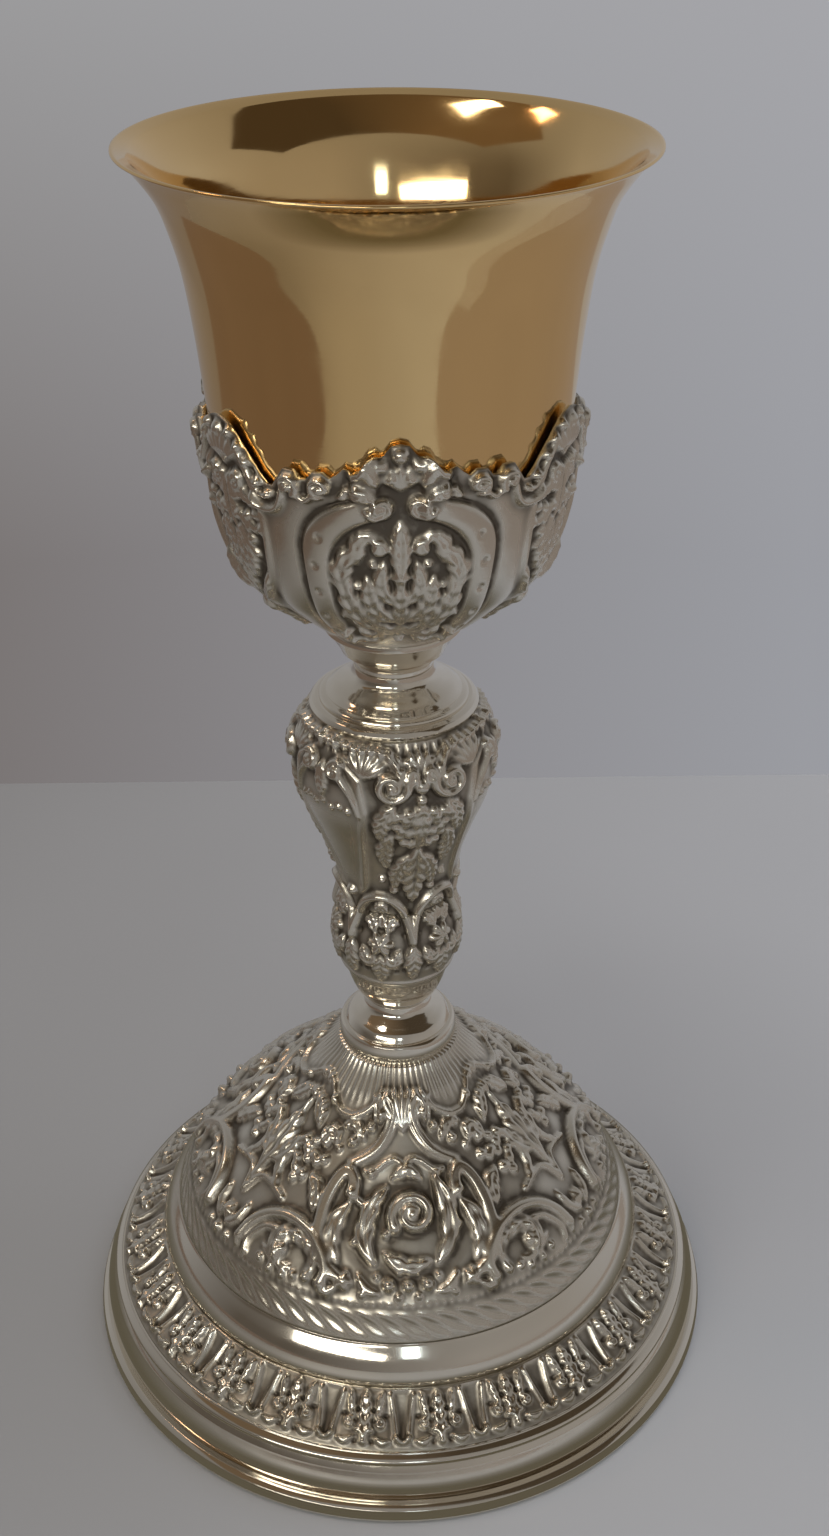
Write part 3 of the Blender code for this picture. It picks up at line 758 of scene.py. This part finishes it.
class Nodes:
    """Short way to add and join shader nodes in one tree."""

    def __init__(self, tree):
        self.tree = tree

    def add(self, kind, **settings):
        node = self.tree.nodes.new(kind)
        for key, value in settings.items():
            setattr(node, key, value)
        return node

    def join(self, out, into):
        self.tree.links.new(out, into)

    def place_x(self):
        """The object's own X, in metres."""
        parts = self.add("ShaderNodeSeparateXYZ")
        self.join(self.add("ShaderNodeTexCoord").outputs["Object"], parts.inputs["Vector"])
        return parts.outputs["X"]

    def noise(self, scale, detail, stretch=None):
        """Noise over the object's own position, in cycles per metre."""
        place = self.add("ShaderNodeTexCoord").outputs["Object"]
        if stretch:
            mapping = self.add("ShaderNodeMapping")
            mapping.inputs["Scale"].default_value = stretch
            self.join(place, mapping.inputs["Vector"])
            place = mapping.outputs["Vector"]
        noise = self.add("ShaderNodeTexNoise")
        noise.inputs["Scale"].default_value = scale
        noise.inputs["Detail"].default_value = detail
        self.join(place, noise.inputs["Vector"])
        return noise.outputs["Fac"]

    def span(self, value, low, high, to_low, to_high):
        node = self.add("ShaderNodeMapRange")
        for key, number in zip(("From Min", "From Max", "To Min", "To Max"),
                               (low, high, to_low, to_high)):
            node.inputs[key].default_value = number
        self.join(value, node.inputs["Value"])
        return node.outputs["Result"]

    def math(self, operation, first, second):
        node = self.add("ShaderNodeMath", operation=operation)
        for socket, value in zip(node.inputs, (first, second)):
            if isinstance(value, (int, float)):
                socket.default_value = value
            else:
                self.join(value, socket)
        return node.outputs["Value"]

    def blend(self, share, first, second):
        node = self.add("ShaderNodeMix", data_type="RGBA")
        self.join(share, node.inputs["Factor"])
        for socket, value in ((node.inputs[6], first), (node.inputs[7], second)):
            if isinstance(value, tuple):
                socket.default_value = (*value, 1)
            else:
                self.join(value, socket)
        return node.outputs[2]

    def attribute(self, name):
        return self.add("ShaderNodeAttribute", attribute_name=name).outputs["Fac"]

    def bump(self, height, distance, strength=1.0):
        node = self.add("ShaderNodeBump")
        node.inputs["Distance"].default_value = distance
        node.inputs["Strength"].default_value = strength
        self.join(height, node.inputs["Height"])
        return node.outputs["Normal"]


def new_material(name, metallic):
    material = bpy.data.materials.new(name)
    material.use_nodes = True
    shader = material.node_tree.nodes["Principled BSDF"]
    shader.inputs["Metallic"].default_value = metallic
    return material, shader, Nodes(material.node_tree)


def polished_metal(name, colour, tint, roughness, scratch=0.000002):
    """Polished metal: slow shifts of tint, faint smears in the gloss, fine turning lines."""
    material, shader, n = new_material(name, 1.0)
    n.join(n.blend(n.noise(35, 3), colour, tint), shader.inputs["Base Color"])
    smear = n.span(n.noise(140, 5), 0.35, 0.7, roughness[0], roughness[1])
    n.join(smear, shader.inputs["Roughness"])
    lines = n.noise(700, 2, stretch=(0.02, 0.02, 3.0))
    n.join(n.bump(lines, scratch), shader.inputs["Normal"])
    return material


def chased_silver(name):
    """Chased silver: bright where it stands up, dull and brown-grey where polish does not reach."""
    material, shader, n = new_material(name, 1.0)
    mottle = n.span(n.noise(420, 5), 0.3, 0.75, 0.75, 1.2)
    hollow = n.math("MULTIPLY", n.attribute("hollow"), mottle)
    high = n.blend(n.span(n.noise(60, 3), 0.3, 0.7, 0.0, 1.0), CHASED_WARM, CHASED)
    colour = n.blend(n.span(hollow, 0.05, 0.9, 0.0, 1.0), high, OXIDE)
    n.join(colour, shader.inputs["Base Color"])
    n.join(n.span(hollow, 0.0, 0.6, 0.24, 0.48), shader.inputs["Roughness"])
    n.join(n.bump(n.noise(1500, 4), 0.00001), shader.inputs["Normal"])
    return material


SILVER = (0.82, 0.775, 0.69)
SILVER_WARM = (0.77, 0.71, 0.60)
CHASED = (0.725, 0.69, 0.61)
CHASED_WARM = (0.665, 0.613, 0.52)
OXIDE = (0.15, 0.13, 0.105)
GOLD = (0.93, 0.67, 0.33)
GOLD_DEEP = (0.89, 0.61, 0.28)
BRASS = (0.72, 0.54, 0.26)
BRASS_DULL = (0.48, 0.36, 0.20)
STEEL = (0.56, 0.57, 0.58)
STEEL_DARK = (0.36, 0.36, 0.37)


def make_materials():
    return {
        "gold": polished_metal("polished_gilt", GOLD, GOLD_DEEP, (0.06, 0.12)),
        "silver": polished_metal("polished_silver", SILVER, SILVER_WARM, (0.07, 0.14)),
        "silver_relief": chased_silver("chased_silver"),
        "brass": polished_metal("turned_brass", BRASS, BRASS_DULL, (0.25, 0.42), 0.00001),
        "steel": polished_metal("brushed_steel", STEEL, STEEL_DARK, (0.28, 0.45), 0.00001),
    }


# ---------------------------------------------------------------- pieces

def make_cup(material):
    outer = curve(CUP_WALL)
    inner = between(inset(outer, SHEET), CUP_BOTTOM + SHEET, 266.9)
    lip = [(47.2, 267.2), (47.15, 267.5), (46.75, 267.6), (46.35, 267.35)]
    outline = np.vstack([
        [(0, CUP_BOTTOM)], outer[outer[:, 1] < 267][::-1], lip, inner, [(0, CUP_BOTTOM + SHEET)],
    ])[::-1]
    turned_to_axis("cup_gilt", outline, "root", material, "cup")


def make_polished(material):
    """The plain turned pieces between the chased ones."""
    plain = {
        "calyx_ring": bored_outline(CALYX_RING, BOSS_BORE),
        "neck_spool": bored_outline(curve(NECK_SPOOL), ROD_BORE),
        "knop_cap": bored_outline([*curve(CAP_SHOULDER), *CAP_STEPS], ROD_BORE),
        "stem_bowl": bored_outline(curve(STEM_BOWL), ROD_BORE),
        "foot_collar": bored_outline([*curve(COLLAR_SHOULDER), *COLLAR_RIM], ROD_BORE),
        "band_moulding": shell_outline(curve(BAND), SHEET),
        "ogee_rim": shell_outline(np.vstack([curve(OGEE_BEAD), curve(OGEE)]), SHEET),
        "base_flange": FLANGE,
    }
    for node, outline in plain.items():
        turned(node + "_polished", rounded(outline), "root", material, node)


def calyx_top(radius, height, across):
    """Moves the rows above the bowl so that they end at the scalloped edge."""
    edge = np.interp(np.abs(np.degrees(across)), *np.array(CALYX_EDGE).T)
    base = CALYX_BOWL[0][1]
    share = np.clip((height - base) / (height[0, 0] - base), 0, 1)
    moved = np.where(height > base, base + share * (edge - base), height)
    return np.where(height > base, radius + CALYX_FLARE * (moved - height), radius), moved


def calyx_closing(radius, height):
    """Rings inside the calyx: in to the floor's hole, up the wall and over the edge."""
    bottom = CALYX_BOWL[-1][1]
    floor = bottom + CALYX_WALL
    bowl = inside(CALYX_BOWL, CALYX_WALL, floor, 213)
    flared = CALYX_BOWL[0][0] - CALYX_WALL + CALYX_FLARE * (height - CALYX_BOWL[0][1])
    flared = np.minimum(flared, radius - 0.5)
    return [
        (BOSS_BORE, bottom), (BOSS_BORE, floor), (bowl[0][0] - 0.4, floor), *bowl,
        (flared, height - 0.35), (flared + 0.2, height - 0.05),
    ]


def make_chased(material):
    closing = [
        (50.5, 31.5), *inside(FOOT_DOME, SHEET, 31.9, 73.4),
        (12.5, 73.8), (ROD_BORE, 73.8), (ROD_BORE, 74.9),
    ]
    path = even(reaching(curve(FOOT_DOME)), 136)
    chased("foot_dome", path, 768, 3, draw_dome, closing, material, centre_deg=2.0)

    top = CALYX_EDGE[0][1]
    wall = [(CALYX_BOWL[0][0] + CALYX_FLARE * (top - 214), top), *curve(CALYX_BOWL)]
    chased("calyx", even(wall, 150), 720, 3, draw_calyx, calyx_closing, material,
           centre_deg=2.5, edge=calyx_top)

    for node, points, rows, columns, repeats, draw, centre, floor in (
        ("pear_knop", PEAR_KNOP, 150, 540, 3, draw_knop, 15, 116.0),
        ("stem_bulb", STEM_BULB, 80, 432, 6, draw_bulb, -15, 96.9),
    ):
        wall = inside(points, CASTING, floor, points[0][1] - 0.3)
        closing = [
            (ROD_BORE, points[-1][1]), (ROD_BORE, floor), (wall[0][0] - 0.2, floor), *wall,
            (points[0][0] - CASTING, points[0][1]),
        ]
        path = even(reaching(curve(points)), rows)
        chased(node, path, columns, repeats, draw, closing, material, centre_deg=centre)

    closing = [(64.8, 15.2), *inside(LEAF_FRIEZE, SHEET, 15.3, 22.1), (54.8, 22.3)]
    path = even(reaching(curve(LEAF_FRIEZE)), 56)
    chased("leaf_frieze", path, 1200, 24, draw_frieze, closing, material, grain=1.0)


def make_rod(material):
    """Tie rod with chamfered ends and a thread cut into its lower end."""
    low, high, thread_top = 53.9, 179.9, 73.4
    chamfer, root = 0.8, ROD_RADIUS - 0.6
    groove = [(ROD_RADIUS, 1.0), (ROD_RADIUS, 1.2), (root, 1.6), (root, 1.75)]
    turns = int((thread_top - low - 1) / THREAD_PITCH)
    thread = [(radius, low + up + k * THREAD_PITCH) for k in range(turns) for radius, up in groove]
    outline = [
        (0, high), (ROD_RADIUS - chamfer, high), (ROD_RADIUS, high - chamfer),
        (ROD_RADIUS, thread_top), *thread[::-1], (ROD_RADIUS - chamfer, low), (0, low),
    ]
    turned_to_axis("tie_rod_threaded", outline, "root", material, "tie_rod", columns=96)


def make_nut(material):
    """Hexagon nut, chamfered on both faces and threaded inside."""
    low, high, flats, columns = 64.9, 69.9, 13.0, 144
    angles = azimuths(columns)
    sixth = math.pi / 3
    from_flat = (angles + 2 * sixth) % sixth - sixth / 2
    hexagon = flats / 2 / np.cos(from_flat)
    face = hexagon.clip(0, flats / 2 - 0.1)
    chamfer = hexagon.clip(0, flats / 2 + 0.35)
    bore = [(4.75, high), (4.4, high - 0.4)]
    for k in range(3):
        top = high - 0.6 - k * THREAD_PITCH
        bore += [(4.3, top), (4.3, top - 0.2), (4.65, top - 0.6), (4.65, top - 0.8)]
    rings = [
        (face, low), (chamfer, low + 0.35), (hexagon, low + 0.75),
        (hexagon, high - 0.75), (chamfer, high - 0.35), (face, high),
        *bore, (4.4, low + 0.4), (4.75, low),
    ]
    points = np.concatenate([spun(radius, height, angles) for radius, height in rings])
    faces = grid_faces(len(rings), columns)[:, ::-1]
    add_mesh("retaining_nut_hexagon", points, [faces], {}, "nut", material, "retaining_nut")


def make_washer(material):
    outline = [(9.0, 71.7), (9.0, 70.2), (ROD_BORE, 70.2), (ROD_BORE, 71.7)]
    turned("washer_turned", rounded(outline, 0.3), "washer", material, "washer")


def finish_cad(material):
    """Gives the CAD parts that stay inside a material of their own."""
    for node in ("cup_boss", "knop_spacer", "bulb_spacer", "foot_plate"):
        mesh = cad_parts[node].data
        mesh.materials.clear()
        mesh.materials.append(material)


# ---------------------------------------------------------------- stage

TABLE_REACH = 1.6
TABLE_REAR = 0.234
# Table colours at the left and at the right: the darker left one is painted shade.
TABLE_SHADED_LEFT = (0.265, 0.257, 0.253)
TABLE_LIT_RIGHT = (0.65, 0.68, 0.74)
CAMERA_PLACE = (0.0, -0.32265, 0.33348)
CAMERA_PITCH = 0.5337
CAMERA_ROLL = 0.0052
CAMERA_YAW = 0.0125
CAMERA_LENS = 42.76


def make_camera():
    data = bpy.data.cameras.new("camera")
    data.sensor_width = 36
    data.lens = CAMERA_LENS
    data.clip_start = 0.01
    camera = bpy.data.objects.new("camera", data)
    cos, sin = math.cos, math.sin
    ahead = Vector((sin(CAMERA_YAW) * cos(CAMERA_PITCH), cos(CAMERA_YAW) * cos(CAMERA_PITCH),
                    -sin(CAMERA_PITCH)))
    right = Vector((cos(CAMERA_YAW), -sin(CAMERA_YAW), 0))
    down = ahead.cross(right)
    turned_right = cos(CAMERA_ROLL) * right + sin(CAMERA_ROLL) * down
    turned_down = -sin(CAMERA_ROLL) * right + cos(CAMERA_ROLL) * down
    axes = Matrix((turned_right, -turned_down, -ahead)).transposed().to_4x4()
    camera.matrix_world = Matrix.Translation(CAMERA_PLACE) @ axes
    bpy.context.scene.collection.objects.link(camera)
    bpy.context.scene.camera = camera


def level_sheet(name, left, right, front, rear, up, material):
    """A rectangle parallel to the table that isn't part of the chalice."""
    mesh = bpy.data.meshes.new(name)
    mesh.from_pydata(
        [(left, front, up), (right, front, up), (right, rear, up), (left, rear, up)],
        [], [(0, 1, 2, 3)])
    mesh.materials.append(material)
    sheet = bpy.data.objects.new(name, mesh)
    bpy.context.scene.collection.objects.link(sheet)
    return sheet


def make_floor():
    """Plain table top, with painted shade that darkens its colour towards the left."""
    material, shader, n = new_material("table_top", 0.0)
    # Painted shade: the colour runs from the shaded left to the lit right along X, with a faint mottle of
    # the table's own over it.
    drift = n.math("ADD", n.span(n.place_x(), -0.25, 0.25, 0.0, 0.85),
                   n.span(n.noise(3, 2), 0.3, 0.7, 0.0, 0.15))
    n.join(n.blend(drift, TABLE_SHADED_LEFT, TABLE_LIT_RIGHT), shader.inputs["Base Color"])
    n.join(n.span(n.noise(900, 2), 0.3, 0.7, 0.5, 0.6), shader.inputs["Roughness"])
    level_sheet("table_top", -TABLE_REACH, TABLE_REACH, -TABLE_REACH, TABLE_REAR, 0, material)


# Colours of the room: the wall behind at its foot and higher up, the sides in front, the ceiling.
WALL_LOW = (0.195, 0.178, 0.175), (0.325, 0.330, 0.357)
WALL_HIGH = (0.330, 0.327, 0.332), (0.380, 0.381, 0.402)
ROOM_SIDES = (0.105, 0.090, 0.076), (0.315, 0.298, 0.286)
ROOM_CEILING = (0.265, 0.255, 0.245)


def make_world():
    """Dim grey room: a pale wall behind, darker and browner towards the left and the front."""
    world = bpy.data.worlds.new("room")
    bpy.context.scene.world = world
    world.use_nodes = True
    n = Nodes(world.node_tree)
    ground = world.node_tree.nodes["Background"]
    direction = n.add("ShaderNodeTexCoord").outputs["Generated"]
    parts = n.add("ShaderNodeSeparateXYZ")
    n.join(direction, parts.inputs["Vector"])
    across = n.span(parts.outputs["X"], -0.22, 0.22, 0.0, 1.0)
    rise = n.span(parts.outputs["Z"], -0.40, -0.12, 0.0, 1.0)
    wall = n.blend(rise, n.blend(across, *WALL_LOW), n.blend(across, *WALL_HIGH))
    front = n.blend(n.span(parts.outputs["X"], -0.7, 0.5, 0.0, 1.0), *ROOM_SIDES)
    around = n.blend(n.span(parts.outputs["Y"], -0.3, 0.5, 0.0, 1.0), front, wall)
    up = n.span(parts.outputs["Z"], 0.25, 0.85, 0.0, 1.0)
    n.join(n.blend(up, around, ROOM_CEILING), ground.inputs["Color"])
    ground.inputs["Strength"].default_value = 1.0


# Level cards, seen only in the metal, that glow to paint reflections into it: dark room zones and a
# painted shade round the foot.  Each gives the card's left, right, front, rear and height, its two
# colours, and how they are laid on it.  "mottle" mixes them by noise, "drift" goes from the first to the
# second between two places along X, and "fade" is a mottle that is whole inside the first distance from
# the origin and gone beyond the second.
CARDS = {
    # Painted reflection of a dark brown room zone at the left.
    "dark_reflection_card": ((-1.3, -0.27, -1.3, 0.3, 0.001),
                  (0.145, 0.110, 0.090), (0.180, 0.138, 0.115), "mottle", ()),
    # Painted reflection of a paler room zone at the right.
    "brown_reflection_card": ((0.19, 1.3, -1.3, 0.5, 0.001),
                   (0.265, 0.232, 0.215), (0.300, 0.265, 0.245), "mottle", ()),
    # Painted shade round the foot: a dark sheet the metal mirrors, fading out away from the foot.
    "foot_shade_card": ((-0.24, 0.24, -0.24, 0.24, 0.001),
                  (0.105, 0.094, 0.068), (0.135, 0.122, 0.092), "fade", (0.085, 0.165)),
    # Painted reflection of a dark ceiling over the front, warmer towards the left.
    "ceiling_reflection_card": ((-1.4, 1.7, -0.90, 0.22, 1.3),
                     (0.150, 0.105, 0.065), (0.062, 0.046, 0.030), "drift", (-0.45, 0.35)),
}


def card_material(name, first, second, lay, places):
    material, shader, n = new_material(name, 0.0)
    n.tree.nodes.remove(shader)
    glow = n.add("ShaderNodeEmission")
    share = n.span(n.place_x(), *places, 0.0, 1.0) if lay == "drift" else n.noise(4, 2)
    n.join(n.blend(share, first, second), glow.inputs["Color"])
    surface = glow.outputs["Emission"]
    # The fade gives the painted shade round the foot a soft edge.
    if lay == "fade":
        distance = n.add("ShaderNodeVectorMath", operation="LENGTH")
        n.join(n.add("ShaderNodeTexCoord").outputs["Object"], distance.inputs[0])
        clear = n.add("ShaderNodeBsdfTransparent")
        mix = n.add("ShaderNodeMixShader")
        n.join(n.span(distance.outputs["Value"], *places, 0.0, 1.0), mix.inputs["Fac"])
        n.join(surface, mix.inputs[1])
        n.join(clear.outputs["BSDF"], mix.inputs[2])
        surface = mix.outputs["Shader"]
    n.join(surface, n.tree.nodes["Material Output"].inputs["Surface"])
    return material


def make_cards():
    for name, (sides, *look) in CARDS.items():
        card = level_sheet(name, *sides, card_material(name, *look))
        card.visible_camera = False
        card.visible_diffuse = False
        card.visible_shadow = False


# Lights, all aimed at the chalice: place, size, power, colour, and whether the metal mirrors it.
LIGHTS = {
    "window": ((-0.505, -0.99, 0.58), (0.80, 0.15), 3.2, (1.0, 0.96, 0.86), True),
    "cool_lamp": ((0.076, -1.085, 0.63), (0.12, 0.14), 0.36, (0.80, 0.93, 1.0), True),
    "left_lamp": ((-0.46, -0.14, 1.21), (0.30, 0.14), 1.0, (1.0, 0.94, 0.84), True),
    "amber_lamp": ((-0.62, 0.20, 1.00), (0.14, 0.12), 0.4, (1.0, 0.62, 0.38), True),
    "overhead": ((0.50, 0.20, 1.3), (1.1, 0.9), 5.6, (0.98, 0.98, 1.0), False),
}
LIGHT_AIM = Vector((0, 0, 0.10))


def make_lights():
    for name, (place, size, power, colour, mirrored) in LIGHTS.items():
        data = bpy.data.lights.new(name, "AREA")
        data.shape = "RECTANGLE"
        data.size, data.size_y = size
        data.energy = power
        data.color = colour
        light = bpy.data.objects.new(name, data)
        light.location = place
        light.rotation_euler = (LIGHT_AIM - Vector(place)).to_track_quat("-Z", "Y").to_euler()
        light.visible_glossy = mirrored
        bpy.context.scene.collection.objects.link(light)


def main():
    bpy.context.scene.view_settings.view_transform = "Standard"
    materials = make_materials()
    make_cup(materials["gold"])
    make_polished(materials["silver"])
    make_chased(materials["silver_relief"])
    make_rod(materials["steel"])
    make_nut(materials["brass"])
    make_washer(materials["steel"])
    finish_cad(materials["brass"])
    make_camera()
    make_floor()
    make_world()
    make_cards()
    make_lights()


main()
